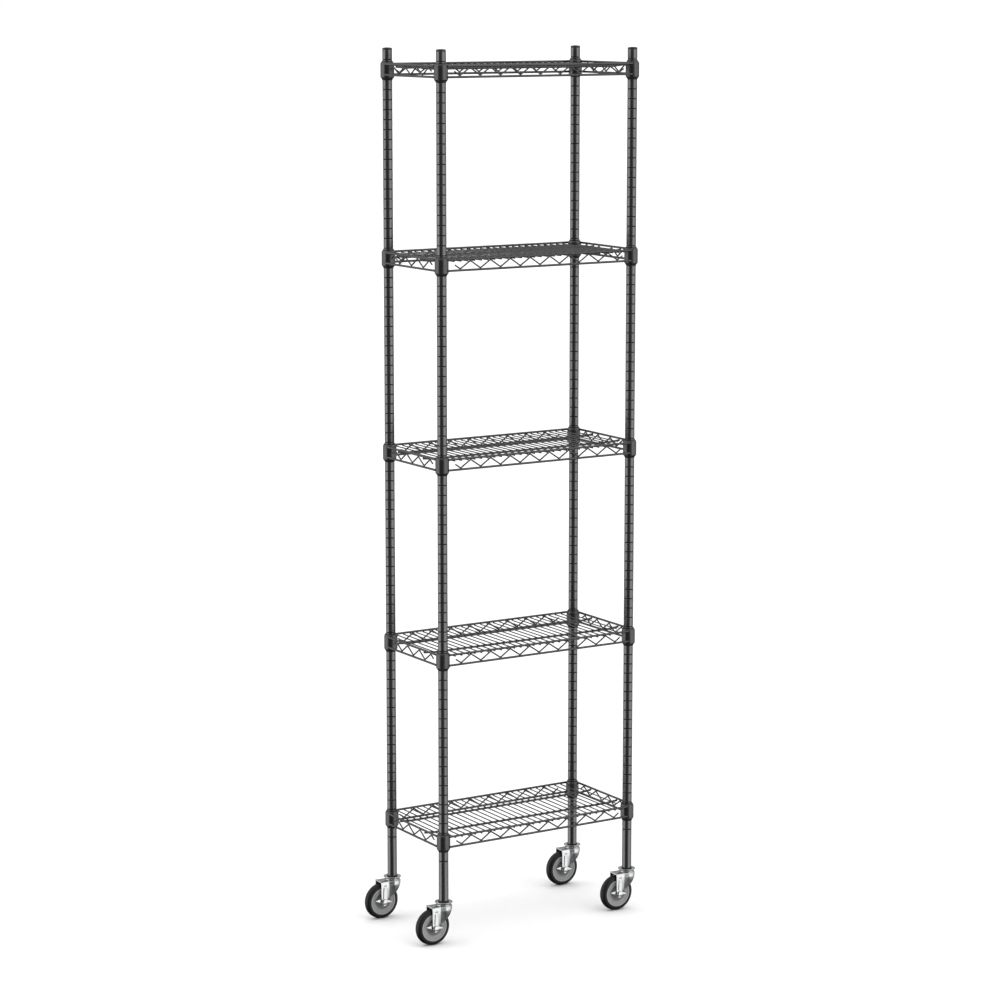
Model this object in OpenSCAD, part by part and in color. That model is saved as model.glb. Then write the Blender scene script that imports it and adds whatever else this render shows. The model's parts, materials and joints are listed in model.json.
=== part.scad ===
// Mobile wire shelving rack: four grooved posts, five welded wire shelves held by split
// sleeves, and four swivel casters.
// Millimetres. X runs along the long side, Y from front to back, Z up.
// The origin is on the floor, midway between the four posts.

/* [Rack] */
// Distance between post axes along the long side
post_spacing_x = 576; // [500:1:900]
// Distance between post axes from front to back
post_spacing_y = 270; // [230:1:600]
// Height of the posts' upper ends above the floor
post_top_z = 2304; // [2290:1:2330]
// Height of the posts' lower ends above the floor
post_foot_z = 113; // [112:1:118]

/* [Posts] */
// Outer diameter of a post
post_d = 25.4; // [25:0.1:25.6]
// Wall thickness of a post
post_wall = 1.2; // [1:0.1:1.5]
// Distance between the grooves
groove_pitch = 25.4; // [25.4:0.1:26]
// Depth of a groove
groove_depth = 0.55; // [0.3:0.05:0.6]
// Width of a groove at the surface
groove_w = 3.2; // [2:0.1:4]
// Number of grooves, counted from the top
groove_count = 82; // [81:1:82]

/* [Shelves] */
// Groove that each shelf hangs on, counted from the top of the post
shelf_grooves = [2, 21, 41, 61, 80];
// Diameter of the rim rods and of the ribs
rod_d = 5.8; // [5:0.1:6.5]
// Diameter of the zigzag wires
zigzag_d = 4; // [3.5:0.1:4.4]
// Diameter of the deck wires
deck_d = 3.2; // [2.8:0.1:3.6]
// Distance between deck wires
deck_pitch = 20; // [16:0.5:30]
// Distance of the ribs from the middle of the shelf
rib_y = 64; // [40:1:80]
// Length of one zigzag period
zigzag_pitch = 59.6; // [55:0.1:64]

/* [Collars and sleeves] */
// Outer diameter of a corner collar
collar_d = 35.6; // [35:0.1:37]
// Height of a collar's outer wall above the groove's middle
collar_up = 19.7; // [18:0.1:22]
// Depth of a collar's lower edge below the groove's middle
collar_down = 22.3; // [20:0.1:24]
// Gap between the two halves of a sleeve
sleeve_gap = 1.5; // [0.8:0.1:3]

/* [Casters] */
// Diameter of a wheel over its tyre
wheel_d = 96; // [90:0.5:97]
// Width of a wheel over its hub
wheel_w = 24; // [20:0.5:24]
// Distance of the axle behind the swivel axis
trail = 34.5; // [30:0.5:38]
// Thickness of the fork's steel
fork_t = 2.5; // [2:0.1:3]
// Distance between the outer faces of the fork's legs
fork_w = 33; // [33:0.5:36]
// Diameter of the axle bolt
axle_d = 8; // [7:0.5:8]

/* [Hidden] */
CORNERS = ["front_left", "front_right", "back_left", "back_right"];
CASTER_PARTS = ["stem", "raceway", "balls", "fork", "thread_guards",
                "axle_bolt", "axle_nut", "axle_bushing", "wheel", "tyre"];

px = post_spacing_x / 2;
py = post_spacing_y / 2;
post_r = post_d / 2;
post_bore = post_r - post_wall;
weld = 0.4;                       // how far welded wires sink into each other
rod_fn = 32;
wire_fn = 8;                      // zigzags, ribs and deck wires are eight-sided bars
round_fn = 96;

// Shelf heights above and below the middle of the collar's groove
top_rod_z = 14.5;
low_rod_z = -12.7;
rim_out = 14.5;                   // rods' centre lines beyond the post axes
rim_x = px + rim_out;
rim_y = py + rim_out;
rim_end = 9.5;                    // rods stop this far short of the post axes
deck_z = top_rod_z - (rod_d + deck_d) / 2 + weld;
rib_z = deck_z - (rod_d + deck_d) / 2 + weld;
rib_end_z = top_rod_z - rod_d + weld;
rib_bend = 32;                    // length of the ribs' raised ends
short_wire = 91;                  // half length of the two outermost deck wires
deck_over = 1.8;                  // deck wires reach this far past the rim's centre line
deck_count = floor((px - collar_d / 2 - deck_d) / deck_pitch);

// Zigzag wires: heights of the bends, which are welded to the rods
zig_top = top_rod_z - (rod_d + zigzag_d) / 2 + weld;
zig_low = low_rod_z + (rod_d + zigzag_d) / 2 - weld;
zig_free = 1.5;                   // height of the free ends
zig_shift_long = -3.5;            // the zigzags sit off the middle of their sides
zig_shift_short = -9;

// Collar and sleeve
collar_r = collar_d / 2;
bore_top = 14.6;
bore_low = 15.0;
sleeve_fit = 0.1;
sleeve_up = 22.2;
sleeve_down = 26;
sleeve_in = post_r + 0.04;
bead_h = 2.2;

// Caster heights above the floor
wheel_r = wheel_d / 2;
axle_z = wheel_r;
plate_top = 103;
plate_low = plate_top - fork_t;
leg_in = fork_w / 2 - fork_t;
fork_nose = 22;                   // radius of the fork's round front
fork_back = 43;                   // the fork's trailing edge behind the swivel axis
flare_x = -22;                    // where the legs leave the round front
rim_in = 33.5;                    // wheel core's rim, inside and outside
rim_out_r = 36.5;
ball_d = 3;
ball_gap = 0.15;
cup_low = plate_top + ball_d + 2 * ball_gap;
cup_t = 2;
hex_top = post_foot_z - 3;
shank_r = 5;
pin_r = 6;
pin_fit = 0.05;
ball_ring_up = 14.5;
ball_ring_low = 9.2;
race_top = plate_low - ball_d - 2 * ball_gap;
race_t = 2.4;
bushing_r = 6;
bushing_fit = 0.05;

function corner_pos(c) = [
    (c == "front_left" || c == "back_left") ? -px : px,
    (c == "front_left" || c == "front_right") ? -py : py, 0];
function groove_z(i) = post_top_z - i * groove_pitch;
function shelf_z(i) = groove_z(shelf_grooves[i - 1]);

// ---------------------------------------------------------------- posts

function groove_points(z) = [
    [post_r, z - groove_w / 2], [post_r - groove_depth, z - groove_w / 5],
    [post_r - groove_depth, z + groove_w / 5], [post_r, z + groove_w / 2]];

module post(c) {
    steps = [for (i = [groove_count:-1:1]) each groove_points(groove_z(i))];
    color("dimgray") translate(corner_pos(c))
        rotate_extrude($fn = round_fn)
            polygon(concat([[post_bore, post_foot_z], [post_r, post_foot_z]], steps,
                           [[post_r, post_top_z], [post_bore, post_top_z]]));
}

// A low domed plug: a rim on the post's end, and a hollow stub with two barbs inside it
module post_cap(c) {
    rim_h = 4;
    dome_h = 2;
    stub_r = post_bore - 0.35;
    stub_h = 14;
    barb = 0.25;
    dome_r = (post_r * post_r + dome_h * dome_h) / (2 * dome_h);
    color("black") translate(corner_pos(c) + [0, 0, post_top_z]) {
        cylinder(r = post_r, h = rim_h, $fn = round_fn);
        translate([0, 0, rim_h - 0.01]) intersection() {
            cylinder(r = post_r - 0.6, h = dome_h, $fn = round_fn);
            translate([0, 0, dome_h - dome_r]) sphere(r = dome_r, $fn = round_fn);
        }
        difference() {
            union() {
                translate([0, 0, -stub_h]) cylinder(r = stub_r, h = stub_h + 1, $fn = 64);
                for (z = [-stub_h + 2, -stub_h + 7])
                    translate([0, 0, z])
                        cylinder(r1 = stub_r, r2 = stub_r + barb, h = 2, $fn = 64);
            }
            translate([0, 0, -stub_h - 1]) cylinder(r = stub_r - 1.6, h = stub_h, $fn = 64);
        }
    }
}

// Threaded inserts pressed into the posts' feet; their flanges carry the casters
module post_inserts() {
    flange_r = 15.2;
    body_h = 28;
    color("black") for (c = CORNERS) translate(corner_pos(c) + [0, 0, hex_top])
        difference() {
            union() {
                cylinder(r1 = flange_r - 0.6, r2 = flange_r, h = 0.8, $fn = round_fn);
                translate([0, 0, 0.8])
                    cylinder(r = flange_r, h = post_foot_z - hex_top - 0.8, $fn = round_fn);
                translate([0, 0, 1]) cylinder(r = post_bore - 0.05, h = body_h, $fn = round_fn);
            }
            translate([0, 0, -1]) cylinder(r = shank_r + 0.05, h = body_h + 3, $fn = 64);
        }
}

// ---------------------------------------------------------------- shelves

// Straight wire between two points
module wire(a, b, d, fn = wire_fn) {
    v = b - a;
    len = norm(v);
    translate(a) rotate([0, acos(v[2] / len), atan2(v[1], v[0])])
        cylinder(d = d, h = len, $fn = fn);
}

// The outside of a bend: a short bar across the wire
module knuckle(at, d) {
    translate(at + [0, 0.4 * d, 0]) rotate([90, 0, 0]) cylinder(d = d, h = 0.8 * d, $fn = wire_fn);
}

// Zigzag wire in the XZ plane with n lower bends and free ends at mid height. ends_low says
// whether the outermost bends are lower ones.
module zigzag(n, ends_low) {
    bends = 2 * n + (ends_low ? -1 : 1);
    half = zigzag_pitch / 2;
    first = -(bends - 1) / 2 * half;
    function corner(i) = [first + i * half, 0, (i % 2 == 0) == ends_low ? zig_low : zig_top];
    end_run = half * abs(zig_free - corner(0)[2]) / (zig_top - zig_low);
    for (i = [0:bends - 2]) wire(corner(i), corner(i + 1), zigzag_d);
    wire(corner(0), [corner(0)[0] - end_run, 0, zig_free], zigzag_d);
    wire(corner(bends - 1), [corner(bends - 1)[0] + end_run, 0, zig_free], zigzag_d);
    for (i = [0:bends - 1]) knuckle(corner(i), zigzag_d);
}

// Rib under the deck wires, its ends raised to meet the side rods
module rib(y) {
    flat_x = px + rim_out - rib_bend;
    wire([-flat_x, y, rib_z], [flat_x, y, rib_z], rod_d);
    for (e = [-1, 1]) {
        knuckle([e * flat_x, y, rib_z], rod_d);
        wire([e * flat_x, y, rib_z], [e * (px + rim_out + 1), y, rib_end_z], rod_d);
    }
}

module collar_solid() {
    bevel = 5.5;
    rotate_extrude($fn = round_fn)
        polygon([
            [bore_low - 3, -collar_down], [bore_low + 0.5, -collar_down],
            [collar_r, -collar_down + 3.2], [collar_r, collar_up - bevel],
            [collar_r - 0.9, collar_up - bevel / 3], [bore_top + 0.6, collar_up],
            [bore_top - 3, collar_up]]);
}

module collar_bore() {
    over = 6;
    slope = (bore_low - bore_top) / (collar_up + collar_down);
    translate([0, 0, -collar_down - over])
        cylinder(r1 = bore_low + over * slope, r2 = bore_top - over * slope,
                 h = collar_up + collar_down + 2 * over, $fn = round_fn);
}

// One welded shelf, its level at z = 0
module shelf_weldment() {
    difference() {
        union() {
            for (sx = [-1, 1], sy = [-1, 1])
                translate([sx * px, sy * py, 0]) collar_solid();
            for (s = [-1, 1], z = [top_rod_z, low_rod_z]) {
                wire([-px + rim_end, s * rim_y, z], [px - rim_end, s * rim_y, z], rod_d, rod_fn);
                wire([s * rim_x, -py + rim_end, z], [s * rim_x, py - rim_end, z], rod_d, rod_fn);
            }
            for (s = [-1, 1]) {
                translate([zig_shift_long, s * rim_y, 0]) zigzag(9, true);
                translate([s * rim_x, -s * zig_shift_short, 0])
                    rotate([0, 0, s * 90]) zigzag(3, false);
                rib(s * rib_y);
            }
            for (i = [-deck_count:deck_count])
                wire([i * deck_pitch, -rim_y - deck_over, deck_z],
                     [i * deck_pitch, rim_y + deck_over, deck_z], deck_d);
            for (s = [-1, 1])
                wire([s * (deck_count + 1) * deck_pitch, -short_wire, deck_z],
                     [s * (deck_count + 1) * deck_pitch, short_wire, deck_z], deck_d);
        }
        for (sx = [-1, 1], sy = [-1, 1])
            translate([sx * px, sy * py, 0]) collar_bore();
    }
}

module shelf(i) {
    color("dimgray") translate([0, 0, shelf_z(i)]) shelf_weldment();
}

// Half shells that clip round the posts; a bead on each sits in a groove
module sleeve_profile() {
    taper = (bore_low - bore_top) / (collar_up + collar_down);
    function out_r(z) = bore_top - sleeve_fit + (collar_up - z) * taper;
    polygon([
        [sleeve_in, -sleeve_down], [post_r + 0.7, -sleeve_down],
        [out_r(-collar_down) , -collar_down - 0.3], [out_r(sleeve_up), sleeve_up],
        [sleeve_in, sleeve_up], [sleeve_in, bead_h / 2],
        [post_r - groove_depth + 0.1, bead_h / 4], [post_r - groove_depth + 0.1, -bead_h / 4],
        [sleeve_in, -bead_h / 2]]);
}

module shelf_sleeves(i) {
    opening = asin(sleeve_gap / 2 / post_r);
    color("black") for (c = CORNERS) translate(corner_pos(c) + [0, 0, shelf_z(i)])
        for (turn = [0, 180])
            rotate([0, 0, turn + opening])
                rotate_extrude(angle = 180 - 2 * opening, $fn = round_fn) sleeve_profile();
}

// ---------------------------------------------------------------- casters

// Threaded shank, hex flange, swivel pin and lower race in one turned piece
module caster_stem(c) {
    shank_top = post_foot_z + 24;
    race_r = 12.5;
    head_r = 8;
    color("silver") translate(corner_pos(c)) {
        translate([0, 0, hex_top - 0.1]) cylinder(r = shank_r, h = shank_top - hex_top, $fn = 64);
        translate([0, 0, cup_low + cup_t])
            cylinder(d = 19 / cos(30), h = hex_top - cup_low - cup_t, $fn = 6);
        translate([0, 0, race_top - 1])
            cylinder(r = pin_r, h = cup_low + cup_t - race_top + 1.5, $fn = 64);
        translate([0, 0, race_top - race_t]) cylinder(r = race_r, h = race_t, $fn = 64);
        translate([0, 0, race_top - race_t - 1.2])
            cylinder(r1 = head_r - 1.2, r2 = head_r, h = 1.3, $fn = 64);
    }
}

// Upper race: a pressed cup with a rolled rim, open to the top round the post's foot
module caster_raceway(c) {
    floor_r = 17.5;
    rim_r = 22;
    rim_z = 110.4;
    roll_r = 1.25;
    color("silver") translate(corner_pos(c)) difference() {
        rotate_extrude($fn = round_fn) union() {
            polygon([
                [0, cup_low], [floor_r, cup_low], [floor_r + 2.6, cup_low + 1],
                [rim_r + 0.6, rim_z - 1], [rim_r - 0.9, rim_z - 0.4],
                [floor_r + 1.4, cup_low + cup_t + 0.6], [floor_r - 0.4, cup_low + cup_t],
                [0, cup_low + cup_t]]);
            translate([rim_r, rim_z]) circle(r = roll_r, $fn = 24);
        }
        translate([0, 0, cup_low - 1]) cylinder(r = pin_r + 0.02, h = cup_t + 2, $fn = 64);
    }
}

module caster_balls(c) {
    up_count = 22;
    low_count = 14;
    color("gainsboro") translate(corner_pos(c)) {
        for (i = [0:up_count - 1]) rotate([0, 0, i * 360 / up_count])
            translate([ball_ring_up, 0, plate_top + ball_gap + ball_d / 2])
                sphere(d = ball_d, $fn = 24);
        for (i = [0:low_count - 1]) rotate([0, 0, i * 360 / low_count])
            translate([ball_ring_low, 0, race_top + ball_gap + ball_d / 2])
                sphere(d = ball_d, $fn = 24);
    }
}

// Plan of the fork: parallel legs behind, a round nose about the swivel axis.
// inset shrinks it evenly for the inner side.
module fork_plan(inset) {
    r = fork_nose - inset;
    w = fork_w / 2 - inset;
    touch = atan2(w, flare_x) - acos(r / norm([flare_x, w]));
    front = [r * cos(touch), r * sin(touch)];
    circle(r = r, $fn = round_fn);
    polygon([
        [-fork_back, w], [flare_x, w], front, [front[0], -front[1]], [flare_x, -w],
        [-fork_back, -w]]);
}

// Side view of the fork: legs down to the axle, leading edge swept back from the nose
function bezier(a, b, c, n) = [for (i = [0:n])
    let (t = i / n) (1 - t) * (1 - t) * a + 2 * t * (1 - t) * b + t * t * c];
module fork_side() {
    boss_r = 11;
    nose = [24, 95];
    union() {
        polygon(concat(
            [[-fork_back, plate_top + 1], [nose[0], plate_top + 1], nose],
            bezier([16, 93], [13, 76], [-12, 60], 8),
            [[-trail + boss_r - 1, axle_z + 3], [-fork_back, axle_z + 3]]));
        translate([-trail, axle_z]) circle(r = boss_r, $fn = 64);
    }
}

// Raised rib on the outside of a leg
module leg_rib() {
    rib_r = 5.5;
    foot_r = 6.5;
    proud = 1.4;
    x = -trail + 4;
    rotate([90, 0, 0]) linear_extrude(fork_t / 2 + proud) {
        translate([x, 82]) circle(r = rib_r, $fn = 48);
        polygon([[x - rib_r, 82], [x + rib_r, 82], [x + foot_r, axle_z + 8],
                 [x - foot_r, axle_z + 8]]);
    }
}

module caster_fork(c) {
    race_wall = 18.2;
    slot_w = 8;
    slot_h = 2.2;
    big = 80;
    color("lightgray") translate(corner_pos(c)) difference() {
        union() {
            intersection() {
                difference() {
                    linear_extrude(plate_top) fork_plan(0);
                    translate([0, 0, -1]) linear_extrude(plate_low + 1) fork_plan(fork_t);
                    translate([-fork_back - 10, -leg_in, -1]) cube([20, 2 * leg_in, plate_low + 1]);
                }
                translate([0, big / 2, 0]) rotate([90, 0, 0]) linear_extrude(big) fork_side();
            }
            difference() {
                translate([0, 0, plate_top - 0.2])
                    cylinder(r1 = race_wall + 1.6, r2 = race_wall + 1, h = 2.4, $fn = round_fn);
                translate([0, 0, plate_top]) cylinder(r = race_wall - 1.2, h = 3, $fn = round_fn);
            }
            for (side = [0, 1]) mirror([0, side, 0]) {
                translate([0, -fork_w / 2 + fork_t / 2, 0]) leg_rib();
                translate([-trail, -fork_w / 2 + 0.2, axle_z]) rotate([90, 0, 0])
                    cylinder(r1 = 9.5, r2 = 8.5, h = 1.6, $fn = 64);
            }
        }
        translate([0, 0, plate_low - 1]) cylinder(r = pin_r + pin_fit, h = fork_t + 2, $fn = 64);
        translate([-trail, big / 2, axle_z]) rotate([90, 0, 0])
            cylinder(r = axle_d / 2 + 0.03, h = big, $fn = 64);
        translate([-trail + 4 - slot_w / 2, -big / 2, 90]) cube([slot_w, big, slot_h]);
    }
}

// Leaf-shaped plates between the legs and the wheel
module caster_thread_guards(c) {
    gap = leg_in - wheel_w / 2;
    guard_t = gap - 0.6;
    leaf_r = 62;
    leaf_h = 6;
    tilt = 10;
    color("lightgray") translate(corner_pos(c) + [-trail, 0, axle_z])
        for (side = [0, 1]) mirror([0, side, 0])
            translate([0, -leg_in + guard_t, 0]) rotate([90, 0, 0])
                linear_extrude(guard_t) difference() {
                    union() {
                        rotate(-tilt) intersection() {
                            translate([0, leaf_r - leaf_h]) circle(r = leaf_r, $fn = 128);
                            translate([0, leaf_h - leaf_r]) circle(r = leaf_r, $fn = 128);
                        }
                        circle(r = 10.8, $fn = 64);
                    }
                    circle(r = axle_d / 2 + 0.03, $fn = 64);
                }
}

module caster_axle_bolt(c) {
    head_h = 5.3;
    seat = fork_w / 2 + 1.4;
    tail = 10;
    color("silver") translate(corner_pos(c) + [-trail, 0, axle_z]) rotate([90, 0, 0]) {
        translate([0, 0, seat]) cylinder(d = 13 / cos(30), h = head_h, $fn = 6);
        translate([0, 0, -seat - tail])
            cylinder(d = axle_d, h = 2 * seat + tail + 0.5, $fn = 64);
    }
}

module caster_axle_nut(c) {
    nut_h = 6.5;
    seat = fork_w / 2 + 1.4;
    color("silver") translate(corner_pos(c) + [-trail, seat + nut_h, axle_z])
        rotate([90, 0, 0]) difference() {
            cylinder(d = 13 / cos(30), h = nut_h, $fn = 6);
            translate([0, 0, -1]) cylinder(d = axle_d + 0.06, h = nut_h + 2, $fn = 64);
        }
}

module caster_axle_bushing(c) {
    half = leg_in - (leg_in - wheel_w / 2 - 0.6) - 0.02;
    color("gray") translate(corner_pos(c) + [-trail, half, axle_z]) rotate([90, 0, 0])
        difference() {
            cylinder(r = bushing_r, h = 2 * half, $fn = 64);
            translate([0, 0, -1]) cylinder(d = axle_d + 0.06, h = 2 * half + 2, $fn = 64);
        }
}

// Wheel core: hub, dished web and the rim that carries the tyre. Half profile [r, y]
module caster_wheel(c) {
    hub_w = wheel_w / 2;
    function half_profile(s) = [
        [bushing_r + bushing_fit, s * hub_w], [10.5, s * hub_w], [12, s * (hub_w - 1)],
        [13.5, s * (hub_w - 4.5)], [19, s * (hub_w - 5.5)], [21, s * (hub_w - 3.6)],
        [rim_in - 1.5, s * (hub_w - 2.4)], [rim_in, s * (hub_w - 1.2)],
        [rim_out_r, s * (hub_w - 1.2)]];
    low = half_profile(-1);
    color("darkgray") translate(corner_pos(c) + [-trail, 0, axle_z]) rotate([90, 0, 0])
        rotate_extrude($fn = round_fn)
            polygon(concat(half_profile(1), [for (i = [len(low) - 1:-1:0]) low[i]]));
}

module caster_tyre(c) {
    half_w = 11.2;
    shoulder = 8.5;
    color([0.12, 0.12, 0.12]) translate(corner_pos(c) + [-trail, 0, axle_z])
        rotate([90, 0, 0]) rotate_extrude($fn = round_fn) intersection() {
            translate([rim_out_r, -half_w]) square([wheel_r - rim_out_r, 2 * half_w]);
            union() {
                translate([rim_out_r, -half_w]) square([wheel_r - rim_out_r - shoulder, 2 * half_w]);
                translate([rim_out_r, -half_w + shoulder])
                    square([wheel_r - rim_out_r, 2 * (half_w - shoulder)]);
                for (s = [-1, 1])
                    translate([wheel_r - shoulder, s * (half_w - shoulder)])
                        circle(r = shoulder, $fn = 64);
            }
        }
}

for (c = CORNERS) {
    post(c);
    post_cap(c);
    caster_stem(c);
    caster_raceway(c);
    caster_balls(c);
    caster_fork(c);
    caster_thread_guards(c);
    caster_axle_bolt(c);
    caster_axle_nut(c);
    caster_axle_bushing(c);
    caster_wheel(c);
    caster_tyre(c);
}
for (i = [1:5]) {
    shelf(i);
    shelf_sleeves(i);
}
post_inserts();
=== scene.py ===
import json
import math

import bmesh
import bpy
from mathutils import Matrix, Vector


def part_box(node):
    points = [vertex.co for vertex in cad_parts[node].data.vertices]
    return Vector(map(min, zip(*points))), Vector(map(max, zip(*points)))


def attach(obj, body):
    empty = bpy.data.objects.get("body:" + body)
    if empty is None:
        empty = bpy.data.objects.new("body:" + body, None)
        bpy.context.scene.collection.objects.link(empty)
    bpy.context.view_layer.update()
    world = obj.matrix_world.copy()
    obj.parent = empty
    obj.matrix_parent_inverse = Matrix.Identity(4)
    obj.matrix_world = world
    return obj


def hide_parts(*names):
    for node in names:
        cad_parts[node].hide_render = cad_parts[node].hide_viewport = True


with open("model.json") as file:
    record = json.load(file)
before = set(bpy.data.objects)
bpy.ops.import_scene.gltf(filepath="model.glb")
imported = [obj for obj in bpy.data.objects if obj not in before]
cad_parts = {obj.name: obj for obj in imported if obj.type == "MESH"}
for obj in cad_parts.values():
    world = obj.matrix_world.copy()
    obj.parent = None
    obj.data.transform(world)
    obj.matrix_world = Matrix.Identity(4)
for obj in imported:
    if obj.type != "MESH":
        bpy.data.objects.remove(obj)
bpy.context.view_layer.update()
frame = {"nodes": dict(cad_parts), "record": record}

# ------------------------------------------------------------------ sizes from the frame, in metres

MM = 0.001
CORNERS = ("front_left", "front_right", "back_left", "back_right")
SHELVES = range(1, 6)


def middle(node):
    lo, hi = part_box(node)
    return (lo + hi) / 2


POST_AT = {c: Vector((middle(f"post_{c}").x, middle(f"post_{c}").y, 0)) for c in CORNERS}
POST_X, POST_Y = POST_AT["back_right"].x, POST_AT["back_right"].y
POST_FOOT, POST_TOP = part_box("post_front_left")[0].z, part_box("post_front_left")[1].z
POST_R = (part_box("post_front_left")[1].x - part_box("post_front_left")[0].x) / 2
POST_BORE = POST_R - 1.2 * MM
GROOVE_PITCH = 25.4 * MM
GROOVE_COUNT = 82
COLLAR_UP = 19.7 * MM               # collar's top above the groove that it hangs on
SHELF_Z = {i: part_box(f"shelf_{i}")[1].z - COLLAR_UP for i in SHELVES}

ROD_R = 2.9 * MM
ZIGZAG_R = 2.0 * MM
DECK_R = 1.6 * MM
TOP_ROD = 14.5 * MM                 # heights above the shelf's groove
LOW_ROD = -12.7 * MM
RIM_OUT = 14.5 * MM                 # rods' centre lines beyond the post axes
RIM_X, RIM_Y = POST_X + RIM_OUT, POST_Y + RIM_OUT
ROD_SHORT = 9.5 * MM                # rods stop this far short of the post axes
WELD = 0.4 * MM                     # how far welded wires sink into each other
DECK_Z = TOP_ROD - ROD_R - DECK_R + WELD
RIB_Z = DECK_Z - ROD_R - DECK_R + WELD
RIB_END_Z = TOP_ROD - 2 * ROD_R + WELD
RIB_Y = 64 * MM
RIB_RISE = 32 * MM                  # length of the ribs' raised ends
DECK_PITCH = 20 * MM
DECK_SIDE = 13                      # deck wires on each side of the middle one
DECK_OVER = 1.8 * MM
SHORT_WIRE = 91 * MM
ZIGZAG_PITCH = 59.6 * MM
ZIGZAG_BEND = 4.5 * MM
ZIGZAG_FREE = 1.5 * MM              # height of a zigzag's free ends
ZIGZAG_SHIFT_LONG = -3.5 * MM
ZIGZAG_SHIFT_SHORT = -9 * MM

TRAIL = POST_AT["back_right"].x - middle("caster_axle_bolt_back_right").x
AXLE_Z = middle("caster_tyre_back_right").z
WHEEL_R = (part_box("caster_tyre_back_right")[1].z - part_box("caster_tyre_back_right")[0].z) / 2
AXLE = Vector((-TRAIL, 0, AXLE_Z))


# ------------------------------------------------------------------ mesh building


def rounded(points, radius, steps=5):
    """The points as vectors, each inner corner replaced by an arc of that radius."""
    points = [Vector(p) for p in points]
    out = [points[0]]
    for before, corner, after in zip(points, points[1:], points[2:]):
        a, b = (before - corner).normalized(), (after - corner).normalized()
        half = a.angle(b) / 2
        back = min(radius / math.tan(half), (before - corner).length * 0.48,
                   (after - corner).length * 0.48)
        arc_r = back * math.tan(half)
        centre = corner + (a + b).normalized() * (arc_r / math.sin(half))
        start, end = corner + a * back - centre, corner + b * back - centre
        turn = start.angle(end)
        for i in range(steps + 1):
            t = i / steps
            arm = (start * math.sin((1 - t) * turn) + end * math.sin(t * turn)) / math.sin(turn)
            out.append(centre + arm)
    out.append(points[-1])
    return out


class Build:
    """Collects vertices and faces, then makes one mesh of them."""

    def __init__(self):
        self.verts, self.faces = [], []

    def rings(self, rings, caps=True, loop=False):
        """Skins a list of rings of points, all with the same number of points."""
        start, n = len(self.verts), len(rings[0])
        for ring in rings:
            self.verts.extend(ring)
        pairs = len(rings) if loop else len(rings) - 1
        for r in range(pairs):
            low, up = start + r * n, start + (r + 1) % len(rings) * n
            for k in range(n):
                nxt = (k + 1) % n
                self.faces.append((low + k, low + nxt, up + nxt, up + k))
        if caps and not loop:
            self.faces.append([start + k for k in reversed(range(n))])
            self.faces.append([start + (len(rings) - 1) * n + k for k in range(n)])

    def wire(self, path, radius, side, sides=12):
        """A round wire along a path that lies across the side vector, its cut ends eased."""
        ease = 0.25 * radius
        side = Vector(side)
        path = [Vector(p) for p in path]
        first, last = (path[1] - path[0]).normalized(), (path[-1] - path[-2]).normalized()
        stations = [(path[0], radius - ease), (path[0] + first * ease, radius)]
        stations += [(p, radius) for p in path[1:-1]]
        stations += [(path[-1] - last * ease, radius), (path[-1], radius - ease)]
        rings = []
        for i, (at, r) in enumerate(stations):
            ahead = stations[min(i + 1, len(stations) - 1)][0]
            behind = stations[max(i - 1, 0)][0]
            along = (ahead - behind).normalized()
            up = along.cross(side).normalized()
            turns = [2 * math.pi * k / sides for k in range(sides)]
            rings.append([at + side * (r * math.cos(t)) + up * (r * math.sin(t)) for t in turns])
        self.rings(rings)

    def lathe(self, profile, at=(0, 0, 0), axis="Z", segments=64, loop=True):
        """Turns a profile of (radius, height) points about Z, or about Y, through at."""
        at = Vector(at)
        rings = []
        for r, h in profile:
            ring = []
            for k in range(segments):
                t = 2 * math.pi * k / segments
                x, y = r * math.cos(t), r * math.sin(t)
                ring.append(at + (Vector((x, y, h)) if axis == "Z" else Vector((x, h, y))))
            rings.append(ring)
        self.rings(rings, caps=not loop, loop=loop)

    def blob(self, at, size, sides=8):
        """A weld bead: a flattened ball."""
        at, rings = Vector(at), []
        for lat in (-65, -30, 0, 30, 65):
            r, z = math.cos(math.radians(lat)), math.sin(math.radians(lat))
            turns = [2 * math.pi * k / sides for k in range(sides)]
            rings.append([at + Vector((size[0] * r * math.cos(t), size[1] * r * math.sin(t),
                                       size[2] * z)) for t in turns])
        self.rings(rings)

    def mesh(self, name, sharp=35):
        mesh = bpy.data.meshes.new(name)
        mesh.from_pydata([tuple(v) for v in self.verts], [], self.faces)
        work = bmesh.new()
        work.from_mesh(mesh)
        bmesh.ops.recalc_face_normals(work, faces=work.faces)
        work.to_mesh(mesh)
        work.free()
        smooth(mesh, sharp)
        return mesh


def smooth(mesh, sharp):
    mesh.shade_smooth()
    mesh.set_sharp_from_angle(angle=math.radians(sharp))


def flat2(points):
    """Profile points for rounded(), which works on vectors."""
    return [Vector((r, h, 0)) for r, h in points]


def eased(points, radius, steps=3):
    """A closed profile with every corner eased. The first point sits on a straight stretch."""
    return [(p.x, p.y) for p in rounded(flat2(points + points[:1]), radius, steps)[:-1]]


# ------------------------------------------------------------------ materials


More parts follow.
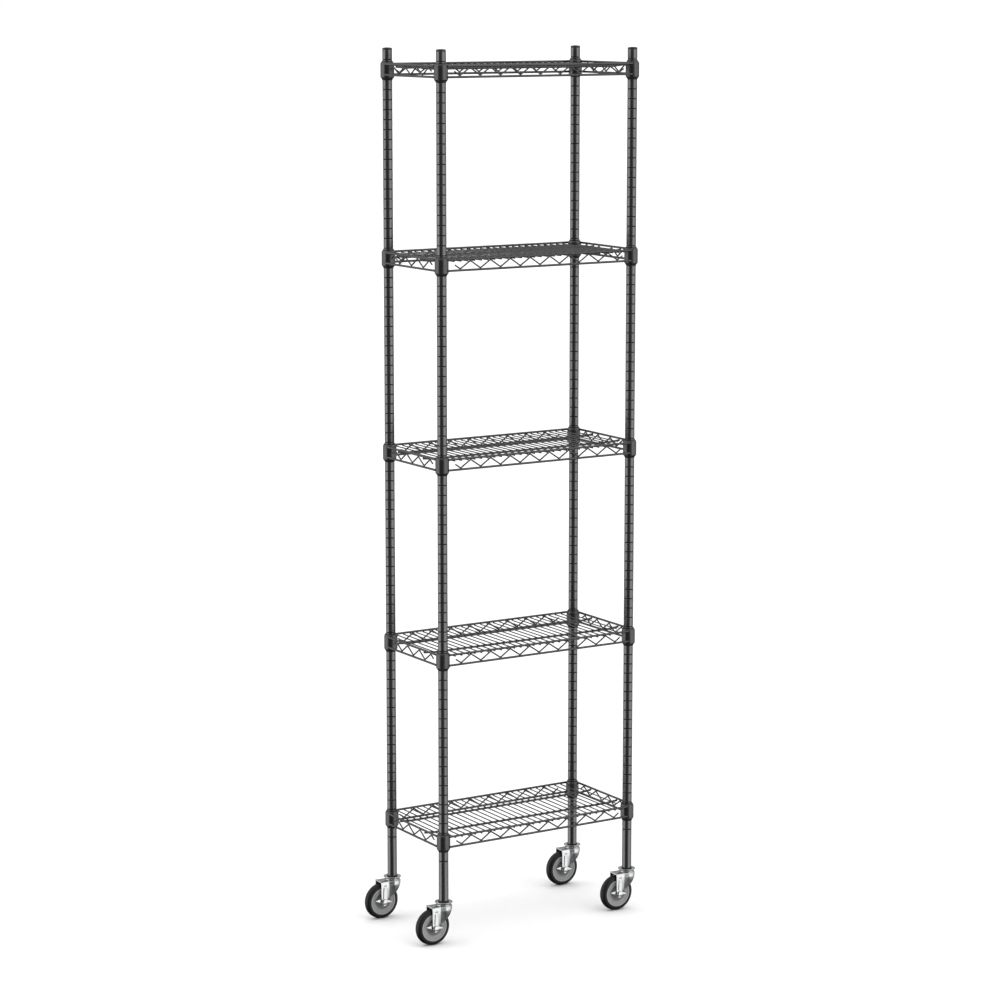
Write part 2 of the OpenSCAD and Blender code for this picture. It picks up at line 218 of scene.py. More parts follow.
class Nodes:
    """A new material with a Principled shader, and short ways to add nodes to it."""

    def __init__(self, name):
        self.material = bpy.data.materials.new(name)
        self.material.use_nodes = True
        self.tree = self.material.node_tree
        self.shader = self.tree.nodes["Principled BSDF"]
        self.coords = self.tree.nodes.new("ShaderNodeTexCoord").outputs["Object"]

    def set(self, **values):
        for key, value in values.items():
            self.shader.inputs[key.replace("_", " ")].default_value = value

    def stretched(self, scale):
        node = self.tree.nodes.new("ShaderNodeMapping")
        node.inputs["Scale"].default_value = scale
        self.tree.links.new(self.coords, node.inputs["Vector"])
        return node.outputs["Vector"]

    def noise(self, scale, detail=3, vector=None):
        node = self.tree.nodes.new("ShaderNodeTexNoise")
        node.inputs["Scale"].default_value = scale
        node.inputs["Detail"].default_value = detail
        self.tree.links.new(vector or self.coords, node.inputs["Vector"])
        return node.outputs["Fac"]

    def ramp(self, value, stops):
        node = self.tree.nodes.new("ShaderNodeValToRGB")
        for element, (at, shade) in zip(node.color_ramp.elements, (stops[0], stops[-1])):
            element.position, element.color = at, (*shade, 1)
        for at, shade in stops[1:-1]:
            node.color_ramp.elements.new(at).color = (*shade, 1)
        self.tree.links.new(value, node.inputs["Fac"])
        return node.outputs["Color"]

    def radius(self, across):
        """Distance from the piece's own axis in metres; across is 1 on the axes across it."""
        flat = self.tree.nodes.new("ShaderNodeVectorMath")
        flat.operation = "MULTIPLY"
        flat.inputs[1].default_value = across
        self.tree.links.new(self.coords, flat.inputs[0])
        size = self.tree.nodes.new("ShaderNodeVectorMath")
        size.operation = "LENGTH"
        self.tree.links.new(flat.outputs["Vector"], size.inputs[0])
        return size.outputs["Value"]

    def tinted(self, a, b):
        """One colour seen through the other."""
        node = self.tree.nodes.new("ShaderNodeVectorMath")
        node.operation = "MULTIPLY"
        self.tree.links.new(a, node.inputs[0])
        self.tree.links.new(b, node.inputs[1])
        return node.outputs["Vector"]

    def spread(self, value, low, high, start=0.0, end=1.0):
        node = self.tree.nodes.new("ShaderNodeMapRange")
        node.inputs["From Min"].default_value = start
        node.inputs["From Max"].default_value = end
        node.inputs["To Min"].default_value = low
        node.inputs["To Max"].default_value = high
        self.tree.links.new(value, node.inputs["Value"])
        return node.outputs["Result"]

    def bump(self, value, strength, distance, under=None):
        node = self.tree.nodes.new("ShaderNodeBump")
        node.inputs["Strength"].default_value = strength
        node.inputs["Distance"].default_value = distance
        self.tree.links.new(value, node.inputs["Height"])
        if under:
            self.tree.links.new(under, node.inputs["Normal"])
        return node.outputs["Normal"]

    def link(self, value, socket):
        self.tree.links.new(value, self.shader.inputs[socket])


def mottled(n, scale, dark, pale, shade):
    """A shade that drifts between a darker and a paler tone of itself."""
    return n.ramp(n.noise(scale), [(0.3, [s * dark for s in shade]),
                                   (0.7, [s * pale for s in shade])])


def epoxy(name, shade, rough, ior):
    """Black epoxy coat: fine orange peel, a little unevenness in gloss. Returns its Nodes."""
    n = Nodes(name)
    n.set(IOR=ior)
    n.link(mottled(n, 60, 0.8, 1.2, shade), "Base Color")
    n.link(n.spread(n.noise(220, 2), rough - 0.05, rough + 0.07), "Roughness")
    peel = n.bump(n.noise(1400, 2), 0.10, 0.0003)
    n.link(n.bump(n.noise(130, 1), 0.06, 0.001, peel), "Normal")
    return n


def post_epoxy():
    """The same coat, dull at the bottom of the grooves."""
    dull_below, glossy_above, full_gloss = POST_R - 0.38 * MM, POST_R - 0.12 * MM, 0.5
    n = epoxy("post_black_epoxy", (0.012, 0.012, 0.0135), 0.22, 2.0)
    n.link(n.spread(n.radius((1, 1, 0)), 0.0, full_gloss, dull_below, glossy_above),
           "Specular IOR Level")
    return n.material


def wheel_plastic():
    """Grey moulded wheel, with painted shade round the hub and a painted highlight on the rim."""
    grey = 0.27
    # Radius in millimetres and share of the grey: the darker hub and the dips near 17.5 mm and 33
    # mm are painted shade, and the paler rim past 34 mm is a painted highlight.
    rings = [(0.0, 0.5), (13.0, 0.5), (17.5, 0.42), (21.0, 0.55), (24.0, 0.95), (31.0, 1.0),
             (33.0, 0.85), (34.5, 1.35), (37.0, 1.45)]   # radius in millimetres, share of the grey
    widest = rings[-1][0]
    n = Nodes("wheel_core_plastic")
    # The grey set by radius from the axle, which carries the painted shade and the painted
    # highlight.
    shade = n.ramp(n.spread(n.radius((1, 0, 1)), 0.0, 1.0, 0.0, widest * MM),
                   [(r / widest, [grey * level] * 3) for r, level in rings])
    mottle = n.ramp(n.noise(90), [(0.3, (0.9, 0.9, 0.9)), (0.7, (1.0, 1.01, 1.02))])
    n.link(n.tinted(shade, mottle), "Base Color")
    grained(n, 0.38, 0.5)
    return n.material


def grained(n, smoothest, roughest):
    """The fine grain of a moulding."""
    n.link(n.spread(n.noise(400, 2), smoothest, roughest), "Roughness")
    n.link(n.bump(n.noise(1800, 2), 0.12, 0.0003), "Normal")


def plastic(name, shade, rough):
    """Moulded plastic with a fine grain."""
    n = Nodes(name)
    n.link(mottled(n, 90, 0.9, 1.1, shade), "Base Color")
    grained(n, rough - 0.06, rough + 0.06)
    return n.material


def zinc(name, shade, rough):
    """Zinc-plated pressed steel: cloudy plate, faint drawing lines, small dents of gloss."""
    n = Nodes(name)
    n.set(Metallic=1.0)
    cloud = [(0.25, [s * 0.82 for s in shade]), (0.5, shade), (0.8, [s * 1.08 for s in shade])]
    n.link(n.ramp(n.noise(85, 4), cloud), "Base Color")
    n.link(n.spread(n.noise(160, 4), rough - 0.08, rough + 0.10), "Roughness")
    lines = n.bump(n.noise(500, 2, n.stretched((1, 1, 0.12))), 0.05, 0.0004)
    n.link(n.bump(n.noise(60, 1), 0.12, 0.001, lines), "Normal")
    return n.material


def rubber(name, shade):
    """Black rubber, a little greyer where it is worn."""
    n = Nodes(name)
    n.set(Specular_IOR_Level=0.3)
    worn = [(0.3, [s * 0.8 for s in shade]), (0.75, [s * 1.5 for s in shade])]
    n.link(n.ramp(n.noise(70, 4), worn), "Base Color")
    n.link(n.spread(n.noise(250, 3), 0.38, 0.55), "Roughness")
    n.link(n.bump(n.noise(900, 3), 0.2, 0.0004), "Normal")
    return n.material


LOOKS = {
    "post_black": post_epoxy(),
    "shelf_black": epoxy("shelf_black_epoxy", (0.010, 0.010, 0.0112), 0.25, 1.68).material,
    "cap_plastic": plastic("cap_plastic", (0.010, 0.010, 0.011), 0.42),
    "insert_plastic": plastic("insert_plastic", (0.010, 0.010, 0.011), 0.45),
    "sleeve_plastic": plastic("sleeve_plastic", (0.008, 0.008, 0.009), 0.4),
    "caster_zinc": zinc("caster_zinc", (0.50, 0.505, 0.51), 0.2),
    "bolt_zinc": zinc("bolt_zinc", (0.55, 0.555, 0.57), 0.22),
    "ball_steel": zinc("ball_steel", (0.85, 0.85, 0.86), 0.12),
    "bushing_plastic": plastic("bushing_plastic", (0.55, 0.55, 0.53), 0.45),
    "wheel_core": wheel_plastic(),
    "tyre_rubber": rubber("tyre_rubber", (0.005, 0.005, 0.0054)),
}
SLOT_OF = {s["node"]: s["material_slot"] for s in frame["record"]["subparts"]}


def dress_nodes():
    """Every CAD node gets its slot's material and smooth shading."""
    for name, node in frame["nodes"].items():
        node.data.materials.clear()
        node.data.materials.append(LOOKS[SLOT_OF[name]])
        smooth(node.data, 35)


def piece(name, mesh, at, body, *nodes):
    """Places a mesh, lets it ride on a body and stand for those CAD nodes."""
    made = bpy.data.objects.new(name, mesh)
    bpy.context.scene.collection.objects.link(made)
    made.location = at
    slot = SLOT_OF[nodes[0]]
    if not mesh.materials:
        mesh.materials.append(LOOKS[slot])
    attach(made, body)
    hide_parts(*nodes)
    return made


# ------------------------------------------------------------------ posts


def post_mesh():
    """A tube with rolled grooves, open at both ends."""
    depth, lip = 0.55 * MM, 0.5 * MM
    # Height from the groove's middle in millimetres, share of its depth
    groove = [(-2.4, 0), (-1.7, 0), (-1.4, 0.12), (-1.1, 0.45), (-0.8, 0.85), (-0.5, 1), (0.5, 1),
              (0.8, 0.85), (1.1, 0.45), (1.4, 0.12), (1.7, 0), (2.4, 0)]
    outer = [(POST_R - lip, POST_FOOT), (POST_R, POST_FOOT + lip), (POST_R, POST_FOOT + 3 * lip)]
    for i in range(GROOVE_COUNT, 0, -1):
        z = POST_TOP - i * GROOVE_PITCH
        outer += [(POST_R - depth * share, z + step * MM) for step, share in groove]
    outer += [(POST_R, POST_TOP - 3 * lip), (POST_R, POST_TOP - lip), (POST_R - lip, POST_TOP)]
    build = Build()
    build.lathe(outer + [(POST_BORE, POST_TOP), (POST_BORE, POST_FOOT)], segments=56)
    return build.mesh("post_tube", 50)


def cap_mesh():
    """A low domed plug with a barbed hollow stub."""
    rim, rise, ease = 3.4 * MM, 2.5 * MM, 0.3 * MM
    dome = [(POST_R * math.sin(a), rim + rise * math.cos(a))
            for a in [math.radians(d) for d in range(4, 91, 8)]]
    stub_r, stub = POST_BORE - 0.35 * MM, -14 * MM
    barbs = []
    for z in (-7 * MM, -12 * MM):
        barbs += [(stub_r, z + 2.4 * MM), (stub_r + 0.25 * MM, z + 2 * MM), (stub_r, z)]
    wall = 1.6 * MM
    build = Build()
    build.lathe(dome + [(POST_R, ease), (POST_R - ease, 0), (stub_r, 0)] + barbs
                + [(stub_r, stub), (stub_r - wall, stub), (stub_r - wall, -1 * MM),
                   (0.4 * MM, -1 * MM)], segments=56, loop=False)
    return build.mesh("cap_plug", 40)


def make_posts():
    tube, plug = post_mesh(), cap_mesh()
    for c in CORNERS:
        piece(f"post_{c}_tube", tube, POST_AT[c], "rack", f"post_{c}")
        piece(f"post_cap_{c}_plug", plug, POST_AT[c] + Vector((0, 0, POST_TOP)), "rack",
              f"post_cap_{c}")


# ------------------------------------------------------------------ shelves


def zigzag_path(lows, ends_low):
    """Zigzag in X and Z with rounded bends that touch the rods, and free ends at mid height."""
    bends = 2 * lows + (-1 if ends_low else 1)
    half = ZIGZAG_PITCH / 2
    top = TOP_ROD - ROD_R - ZIGZAG_R + WELD
    low = LOW_ROD + ROD_R + ZIGZAG_R - WELD
    slope = math.atan2(top - low, half)
    sink = ZIGZAG_BEND * (1 / math.cos(slope) - 1)
    top, low = top + sink, low - sink
    first = -(bends - 1) / 2 * half
    corners = [(first + i * half, 0, low if (i % 2 == 0) == ends_low else top)
               for i in range(bends)]
    run = half * abs(ZIGZAG_FREE - corners[0][2]) / (top - low)
    points = [(corners[0][0] - run, 0, ZIGZAG_FREE), *corners,
              (corners[-1][0] + run, 0, ZIGZAG_FREE)]
    return rounded(points, ZIGZAG_BEND)


def collar_profile():
    """A collar's wall: drawn in at the top, chamfered at the foot, with a tapered bore."""
    wall_r, down, bore_up, bore_down = 17.8 * MM, -22.3 * MM, 14.6 * MM, 15.0 * MM
    return eased([(wall_r, 0), (wall_r, COLLAR_UP - 5.5 * MM),
                  (wall_r - 0.9 * MM, COLLAR_UP - 1.8 * MM), (15.2 * MM, COLLAR_UP),
                  (bore_up, COLLAR_UP), (bore_down, down), (15.5 * MM, down),
                  (wall_r, down + 3.2 * MM)], 0.8 * MM)


def shelf_mesh():
    """One welded shelf about its own middle, with its groove at height 0."""
    build = Build()
    for sx in (-1, 1):
        for sy in (-1, 1):
            build.lathe(collar_profile(), (sx * POST_X, sy * POST_Y, 0), segments=64)
    long_end, short_end = POST_X - ROD_SHORT, POST_Y - ROD_SHORT
    for s in (-1, 1):
        for z in (TOP_ROD, LOW_ROD):
            build.wire([(-long_end, s * RIM_Y, z), (long_end, s * RIM_Y, z)], ROD_R, (0, 1, 0), 16)
            build.wire([(s * RIM_X, -short_end, z), (s * RIM_X, short_end, z)], ROD_R,
                       (1, 0, 0), 16)
        shift = Vector((ZIGZAG_SHIFT_LONG, s * RIM_Y, 0))
        build.wire([p + shift for p in zigzag_path(9, True)], ZIGZAG_R, (0, 1, 0))
        turned = Matrix.Rotation(s * math.pi / 2, 3, "Z")
        shift = Vector((s * RIM_X, -s * ZIGZAG_SHIFT_SHORT, 0))
        build.wire([turned @ p + shift for p in zigzag_path(3, False)], ZIGZAG_R, (1, 0, 0))
        flat, reach = RIM_X - RIB_RISE, RIM_X + 1 * MM
        rib = [(-reach, s * RIB_Y, RIB_END_Z), (-flat, s * RIB_Y, RIB_Z),
               (flat, s * RIB_Y, RIB_Z), (reach, s * RIB_Y, RIB_END_Z)]
        build.wire(rounded(rib, 60 * MM), ROD_R, (0, 1, 0), 16)
    for k in range(-DECK_SIDE, DECK_SIDE + 1):
        end = RIM_Y + DECK_OVER
        deck_wire(build, k * DECK_PITCH, end, (-RIM_Y, -RIB_Y, RIB_Y, RIM_Y))
    for s in (-1, 1):
        deck_wire(build, s * (DECK_SIDE + 1) * DECK_PITCH, SHORT_WIRE, (-RIB_Y, RIB_Y))
    return build.mesh("shelf_welded", 40)


def deck_wire(build, x, end, crossings):
    """A wire from front to back with a weld bead where it crosses each rod or rib."""
    build.wire([(x, -end, DECK_Z), (x, end, DECK_Z)], DECK_R, (1, 0, 0), 12)
    for y in crossings:
        rod_z = TOP_ROD if abs(y) > RIB_Y + DECK_R else RIB_Z
        bead_z = (DECK_Z + rod_z) / 2
        build.blob((x, y, bead_z), (2.3 * MM, 2.3 * MM, 1.3 * MM))


def make_shelves():
    mesh = shelf_mesh()
    for i in SHELVES:
        piece(f"shelf_{i}_welded", mesh, (0, 0, SHELF_Z[i]), "rack", f"shelf_{i}")


# ------------------------------------------------------------------ casters


def softened(name, node, width):
    """A copy of a CAD node's mesh with its edges eased, as pressed steel has."""
    hard_edge = math.radians(30)
    mesh = frame["nodes"][node].data.copy()
    mesh.name = name
    work = bmesh.new()
    work.from_mesh(mesh)
    bmesh.ops.remove_doubles(work, verts=work.verts, dist=0.002 * MM)
    bmesh.ops.dissolve_limit(work, angle_limit=math.radians(0.5), verts=work.verts,
                             edges=work.edges)
    hard = [e for e in work.edges
            if len(e.link_faces) == 2 and e.calc_face_angle(0) > hard_edge]
    bmesh.ops.bevel(work, geom=hard, offset=width, segments=2, profile=0.5,
                    affect="EDGES", clamp_overlap=True)
    bmesh.ops.triangulate(work, faces=[f for f in work.faces if len(f.verts) > 4])
    work.to_mesh(mesh)
    work.free()
    smooth(mesh, 40)
    return mesh


# The fork in millimetres, about the swivel axis and from the floor
FORK_TOP = 103
FORK_THICK = 2.5
FORK_FILLET = 3.2                   # round edge between its top and its sides
FILLET_POINTS = 6                   # section points round that edge
FORK_BACK = -43                     # trailing edges of the legs
LEG_Y = 16.5                        # outside of the legs
NOSE_R = 22
FLARE_X = -20                       # where the outline leaves the legs for the nose
SLOT_X = (-34.5, -26.5)             # ends of the slot in each leg
SLOT_SHARES = (0.126, 0.161)        # its upper and lower edge, as shares of the leg's height
SLOT_STEPS = 10                     # plan points before the slot, and along it
RIB_BOUNDS = -21                    # the ribs and discs all lie behind this X


def step_up(share):
    """Smooth rise from 0 to 1."""
    share = min(max(share, 0), 1)
    return share * share * (3 - 2 * share)


def emboss(x, z):
    """How far the leg's outside stands out: a long rib and the disc round the axle."""
    rib_x, rib_z, rib_r, spread, disc_r, proud, edge = -30.5, 82, 5.5, 1 / 26, 9.2, 1.2, 2.2
    if z > rib_z:
        inside = rib_r - math.hypot(x - rib_x, z - rib_z)
    else:
        inside = rib_r + (rib_z - z) * spread - abs(x - rib_x)
    disc = disc_r - math.hypot(x - AXLE.x / MM, z - AXLE.z / MM)
    return proud * step_up(max(inside, disc) / edge + 0.5)


def leg_foot(x):
    """Height of the fork's lower edge at x: round the axle, then swept up to the nose."""
    axle_x, axle_z, boss_r, lift = AXLE.x / MM, AXLE.z / MM, 11, 3
    bend, low, mid, high, tip_slope = -24.5, (-12, 60), (13, 76), (16, 93), 0.25
    if x <= bend:
        return axle_z - math.sqrt(max(boss_r ** 2 - (x - axle_x) ** 2, 0))
    if x <= low[0]:
        return axle_z + lift + (x - bend) / (low[0] - bend) * (low[1] - axle_z - lift)
    if x >= high[0]:
        return high[1] + (x - high[0]) * tip_slope
    a, b, c = low[0] - 2 * mid[0] + high[0], 2 * (mid[0] - low[0]), low[0] - x
    t = (-b + math.sqrt(b * b - 4 * a * c)) / (2 * a)
    return (1 - t) ** 2 * low[1] + 2 * t * (1 - t) * mid[1] + t * t * high[1]


def draw_in(depth):
    """How far the nose has drawn in at a depth below its round edge."""
    upright, most, over = 7, 7, 33
    return most * (max(depth - upright, 0) / over) ** 1.3


def fork_plan():
    """The outline from one leg's trailing edge round the nose to the other: x, y, normal."""
    slot_start, slot_end = SLOT_X
    side = [(FORK_BACK + (slot_start - FORK_BACK) * i / SLOT_STEPS, -LEG_Y)
            for i in range(SLOT_STEPS)]
    side += [(slot_start + (slot_end - slot_start) * i / SLOT_STEPS, -LEG_Y)
             for i in range(SLOT_STEPS)]
    turn = math.atan2(-LEG_Y, FLARE_X) + math.acos(NOSE_R / math.hypot(FLARE_X, LEG_Y))
    touch = (NOSE_R * math.cos(turn), NOSE_R * math.sin(turn))
    flare = rounded(flat2([(slot_end, -LEG_Y), (FLARE_X, -LEG_Y), touch]), 18, 12)
    side += [(p.x, p.y) for p in flare]
    arc = 28
    side += [(NOSE_R * math.cos(turn * (1 - i / arc)), NOSE_R * math.sin(turn * (1 - i / arc)))
             for i in range(1, arc + 1)]
    points = side + [(x, -y) for x, y in reversed(side[:-1])]
    out = []
    for i, (x, y) in enumerate(points):
        ahead, behind = points[min(i + 1, len(points) - 1)], points[max(i - 1, 0)]
        along = Vector((ahead[0] - behind[0], ahead[1] - behind[1])).normalized()
        out.append((x, y, Vector((along.y, -along.x))))
    return out


def side_section(x, y, normal, rows, inner_rows):
    """Outside points from the top down to the lower edge, then inside points back up."""
    foot, start, ceiling = leg_foot(x), FORK_TOP - FORK_FILLET, FORK_TOP - FORK_THICK
    upright_to, over = -26, 14
    narrow = step_up((x - upright_to) / over)
    points = []
    for i in range(FILLET_POINTS):
        t = math.pi / 2 * i / (FILLET_POINTS - 1)
        inset = FORK_FILLET * (1 - math.sin(t))
        points.append((x - normal.x * inset, y - normal.y * inset,
                       FORK_TOP - FORK_FILLET * (1 - math.cos(t))))
    for share in rows[1:]:
        z = start + (foot - start) * share
        out = (emboss(x, z) if x < RIB_BOUNDS else 0) - draw_in(start - z) * narrow
        points.append((x + normal.x * out, y + normal.y * out, z))
    for share in inner_rows:
        z = ceiling + (foot - ceiling) * share
        back = FORK_THICK + draw_in(start - z) * narrow
        points.append((x - normal.x * back, y - normal.y * back, z))
    return points


def rear_section(x, y, rows, inner_rows):
    """The top plate's rear edge, with as many points as a side has."""
    heights = [FORK_TOP - FORK_THICK / 2 * i / (FILLET_POINTS - 1) for i in range(FILLET_POINTS)]
    heights += [FORK_TOP - FORK_THICK / 2 * (1 + share) for share in rows[1:]]
    heights += [FORK_TOP - FORK_THICK] * len(inner_rows)
    return [(x, y, z) for z in heights]


def fork_mesh():
    """Pressed fork: ribbed legs behind, a round nose that draws in below, a slot in each leg."""
    hole, below_slot, rear_steps = 6.05, 34, 8
    slot_up, slot_down = SLOT_SHARES
    rows = [0, 0.04, 0.08, slot_up, slot_down]
    rows += [slot_down + (1 - slot_down) * i / below_slot for i in range(1, below_slot + 1)]
    inner_rows = [1, slot_down, slot_up, 0]
    plan = fork_plan()
    sections = [(x, y, side_section(x, y, normal, rows, inner_rows)) for x, y, normal in plan]
    last_x, last_y, _ = plan[-1]
    for i in range(rear_steps + 1):
        y = last_y * (1 - 2 * i / rear_steps)
        sections.append((last_x, y, rear_section(last_x, y, rows, inner_rows)))
    build = Build()
    for x, y, section in sections:
        inner = Vector((x, y)).normalized() * hole
        ring = [(inner.x, inner.y, FORK_TOP), *section, (inner.x, inner.y, FORK_TOP - FORK_THICK)]
        build.verts.extend(Vector(p) * MM for p in ring)
    n = len(ring)

    def strip(r, next_r, k, next_k):
        build.faces.append((r * n + k, next_r * n + k, next_r * n + next_k, r * n + next_k))

    # The slots: faces left out of the outside and the inside, and the walls that join the two
    upper, lower = FILLET_POINTS + rows.index(slot_up), FILLET_POINTS + rows.index(slot_down)
    inner_low = FILLET_POINTS + len(rows) + inner_rows.index(slot_down)
    inner_up = inner_low + 1
    last = len(plan) - 1
    slots = ((SLOT_STEPS, 2 * SLOT_STEPS), (last - 2 * SLOT_STEPS, last - SLOT_STEPS))
    left_out = {(r, k) for low, high in slots for r in range(low, high) for k in (upper, inner_low)}
    for r in range(len(sections)):
        for k in range(n):
            if (r, k) not in left_out:
                strip(r, (r + 1) % len(sections), k, (k + 1) % n)
    for low, high in slots:
        for r in range(low, high):
            strip(r, r + 1, upper, inner_up)
            strip(r, r + 1, lower, inner_low)
        for r in (low, high):
            build.faces.append([r * n + k for k in (upper, lower, inner_low, inner_up)])

    ring_r, ring_foot, ring_top = 18.2, FORK_TOP - 0.2, FORK_TOP + 2.2
    build.lathe([(r * MM, z * MM) for r, z in eased(
        [(ring_r, ring_foot), (ring_r + 1.6, ring_foot), (ring_r + 1.0, ring_top),
         (ring_r - 1.2, ring_top), (ring_r - 1.2, ring_foot)], 0.5)])
    return build.mesh("fork_pressed", 45)


def insert_mesh():
    """The plastic inserts at the posts' feet: a short flange under each tube and a plug in it."""
    low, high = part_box("post_inserts")[0].z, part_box("post_inserts")[1].z
    flange, plug, bore, lead = 14.0 * MM, POST_BORE - 0.1 * MM, 5.6 * MM, 1.2 * MM
    ease_low, ease_up = 0.4 * MM, 0.5 * MM
    build = Build()
    for c in CORNERS:
        build.lathe([(bore, low), (flange - ease_low, low), (flange, low + ease_low),
                     (flange, POST_FOOT - ease_up), (flange - ease_up, POST_FOOT),
                     (plug, POST_FOOT), (plug, high - lead), (plug - lead, high),
                     (bore, high)], POST_AT[c])
    return build.mesh("insert_plugs", 40)


def tyre_mesh():
    """Solid tyre with round shoulders and a fine line pressed in beside the rim."""
    half, inner, shoulder = 11.2 * MM, 36.5 * MM, 8.5 * MM
    crown = []
    for s in (-1, 1):
        turns = [math.radians(d) for d in range(0, 91, 9)]
        arc = [(WHEEL_R - shoulder + shoulder * math.cos(t),
                s * (half - shoulder + shoulder * math.sin(t))) for t in turns]
        crown += list(reversed(arc)) if s < 0 else arc
    bead = 0.5 * MM
    side = [(inner + 2.6 * MM, half), (inner + 2.2 * MM, half - bead),
            (inner + 1.0 * MM, half - bead), (inner + 0.6 * MM, half), (inner, half)]
    build = Build()
    build.lathe(crown + side + [(r, -h) for r, h in reversed(side)], axis="Y", segments=96)
    return build.mesh("tyre_solid", 35)


def wheel_mesh():
    """Wheel core: hub, dished web with a step, and the rim that shows round it."""
    hub = 12 * MM
    # Radius, depth below the hub's face, in millimetres
    half = [(6.05, 0), (10.2, 0), (11.6, 0.6), (12.4, 2.4), (13.8, 4.3), (15.5, 5.0), (18.6, 5.2),
            (20.0, 4.6), (21.4, 3.5), (25, 3.2), (30, 2.7), (31.6, 2.3), (32.8, 1.1), (33.8, 0.75),
            (35.9, 0.75), (36.45, 1.2)]
    face = [(r * MM, hub - d * MM) for r, d in half]
    build = Build()
    build.lathe(face + [(r, -h) for r, h in reversed(face)], axis="Y", segments=96)
    return build.mesh("wheel_core", 45)


def make_casters():
    tyre, wheel, fork, ease = tyre_mesh(), wheel_mesh(), fork_mesh(), 0.35 * MM
    piece("post_inserts_plugs", insert_mesh(), (0, 0, 0), "rack", "post_inserts")
    for c in CORNERS:
        axle = POST_AT[c] + AXLE
        piece(f"caster_tyre_{c}_solid", tyre, axle, f"wheel_{c}", f"caster_tyre_{c}")
        piece(f"caster_wheel_{c}_core", wheel, axle, f"wheel_{c}", f"caster_wheel_{c}")
        piece(f"caster_fork_{c}_pressed", fork, POST_AT[c], f"fork_{c}", f"caster_fork_{c}")
        for part in ("axle_bolt", "axle_nut", "thread_guards"):
            node = f"caster_{part}_{c}"
            piece(f"{node}_eased", softened(f"{node}_eased", node, ease), (0, 0, 0),
                  f"fork_{c}", node)


# ------------------------------------------------------------------ floor, light and camera


def make_floor():
    """A pale floor that reaches far past the picture. Glossy surfaces don't mirror it."""
    reach, dark, pale = 400, 0.93, 0.95
    bpy.ops.mesh.primitive_grid_add(x_subdivisions=8, y_subdivisions=8, size=2 * reach)
    floor = bpy.context.object
    floor.name = "studio_floor"
    n = Nodes("studio_floor_paint")
    n.set(Specular_IOR_Level=0.1, Roughness=0.8)
    n.link(n.ramp(n.noise(0.8), [(0.3, [dark] * 3), (0.7, [pale] * 3)]), "Base Color")
    floor.data.materials.append(n.material)
    floor.visible_glossy = False


CAMERA_AT = Vector((-4.118, -6.598, 2.450))
LOOK_ALONG = Vector((0.5265, 0.8501, 0))
TILT_DOWN = math.radians(9.65)
LENS = 107.6


def make_camera():
    data = bpy.data.cameras.new("camera")
    data.lens, data.sensor_width = LENS, 36
    camera = bpy.data.objects.new("camera", data)
    bpy.context.scene.collection.objects.link(camera)
    camera.location = CAMERA_AT
    level = LOOK_ALONG.normalized() * math.cos(TILT_DOWN)
    ahead = level - Vector((0, 0, math.sin(TILT_DOWN)))
    camera.rotation_euler = ahead.to_track_quat("-Z", "Y").to_euler()
    data.clip_end = 1000
    bpy.context.scene.camera = camera


# What the rack mirrors, all round: degrees to the right of the camera's place, and brightness
SURROUNDINGS = ((-180, 0.35), (-135, 0.6), (-105, 1.4), (-62, 2.4), (-48, 0.7), (-38, 0.06),
                (6, 0.08), (20, 0.30), (30, 0.6), (42, 2.1), (65, 1.9), (82, 1.6), (112, 0.9),
                (140, 0.5), (180, 0.35))
ZENITH = 1.0                        # brightness straight up
# Share of that brightness by the height of a direction: full down to about 21 degrees below the
# horizon, then falling by this slope to the least
BELOW_SLOPE, BELOW_AT_LEVEL, BELOW_LEAST = 5.75, 3.07, 0.08
OVERHEAD = 1.1                      # strength of the soft light from above


class WorldNodes:
    """Short ways to add maths nodes to the world."""

    def __init__(self, tree):
        self.tree = tree

    def math(self, operation, *values):
        node = self.tree.nodes.new("ShaderNodeMath")
        node.operation = operation
        for socket, value in zip(node.inputs, values):
            self.put(value, socket)
        return node.outputs["Value"]

    def dot(self, value, direction):
        node = self.tree.nodes.new("ShaderNodeVectorMath")
        node.operation = "DOT_PRODUCT"
        self.put(value, node.inputs[0])
        node.inputs[1].default_value = tuple(direction)
        return node.outputs["Value"]

    def mix(self, factor, a, b):
        node = self.tree.nodes.new("ShaderNodeMix")
        self.put(factor, node.inputs["Factor"])
        self.put(a, node.inputs["A"])
        self.put(b, node.inputs["B"])
        return node.outputs["Result"]

    def put(self, value, socket):
        if isinstance(value, bpy.types.NodeSocket):
            self.tree.links.new(value, socket)
        else:
            socket.default_value = value


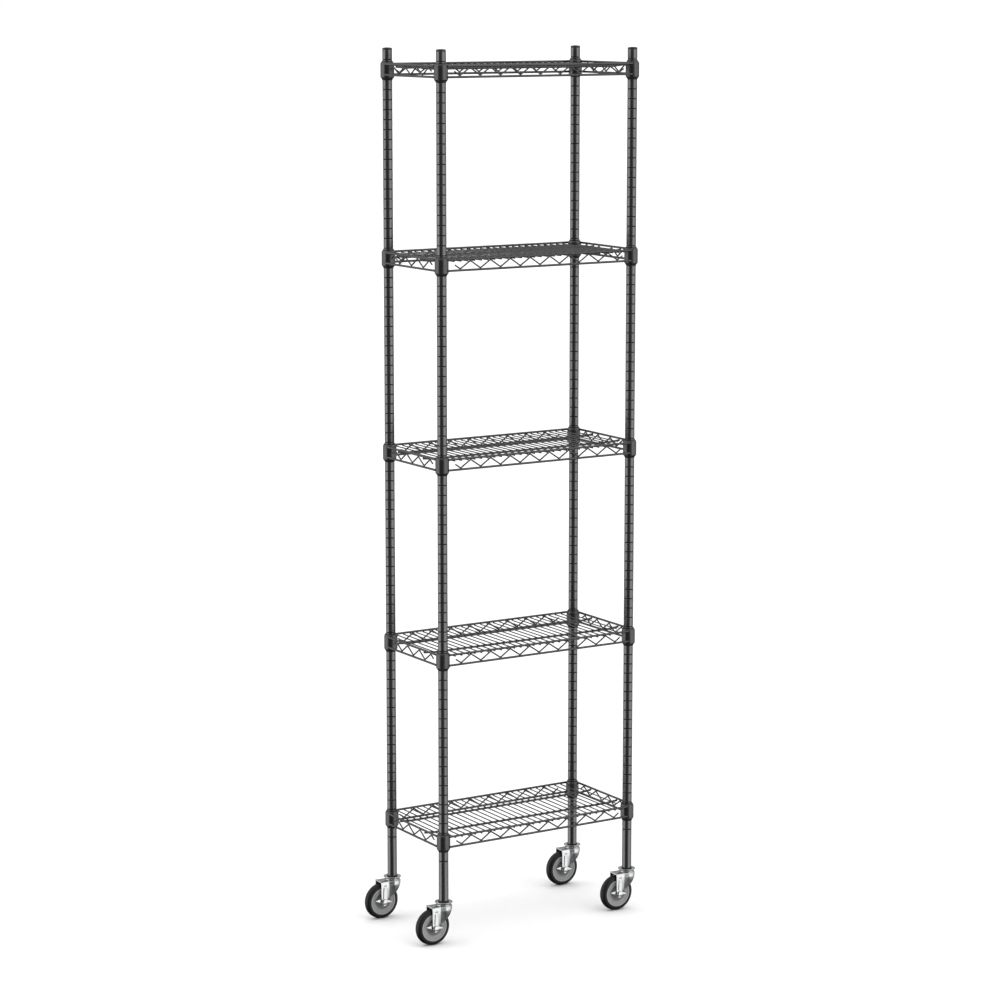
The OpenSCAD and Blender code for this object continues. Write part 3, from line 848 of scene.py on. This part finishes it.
def make_light():
    """White studio: bright panels to the left and right, dimmer behind the camera and the rack."""
    world = bpy.data.worlds.new("studio")
    world.use_nodes = True
    bpy.context.scene.world = world
    tree = world.node_tree
    n = WorldNodes(tree)
    toward = tree.nodes.new("ShaderNodeTexCoord").outputs["Generated"]
    back = -LOOK_ALONG.normalized()
    right = Vector((-back.y, back.x, 0))
    turn = n.math("ARCTAN2", n.dot(toward, right), n.dot(toward, back))
    share = n.math("MULTIPLY_ADD", turn, 0.5 / math.pi, 0.5)
    panel = tree.nodes.new("ShaderNodeValToRGB")
    tree.links.new(share, panel.inputs["Fac"])
    peak = max(level for _, level in SURROUNDINGS)
    stops = panel.color_ramp.elements
    for angle, level in SURROUNDINGS[1:-1]:
        stops.new(angle / 360 + 0.5).color = [level / peak] * 3 + [1]
    for stop, (_, level) in zip((stops[0], stops[-1]), (SURROUNDINGS[0], SURROUNDINGS[-1])):
        stop.color = [level / peak] * 3 + [1]
    height = n.dot(toward, (0, 0, 1))
    below = n.math("MULTIPLY_ADD", height, BELOW_SLOPE, BELOW_AT_LEVEL)
    below = n.math("MINIMUM", n.math("MAXIMUM", below, BELOW_LEAST), 1.0)
    around = n.math("MULTIPLY", n.math("MULTIPLY", panel.outputs["Color"], peak), below)
    above = n.math("POWER", n.math("MAXIMUM", height, 0.0), 1.5)
    mirrored = n.mix(above, around, ZENITH)
    path = tree.nodes.new("ShaderNodeLightPath")
    shown = n.mix(path.outputs["Is Camera Ray"], mirrored, 1.0)
    background = tree.nodes["Background"]
    background.inputs["Color"].default_value = (1, 1, 1, 1)
    tree.links.new(shown, background.inputs["Strength"])
    sun = bpy.data.lights.new("overhead", "SUN")
    sun.energy, sun.angle = OVERHEAD, math.radians(70)
    lamp = bpy.data.objects.new("overhead", sun)
    lamp.visible_glossy = False
    bpy.context.scene.collection.objects.link(lamp)


bpy.context.scene.view_settings.view_transform = "Standard"
make_camera()
make_floor()
make_light()
dress_nodes()
make_posts()
make_shelves()
make_casters()
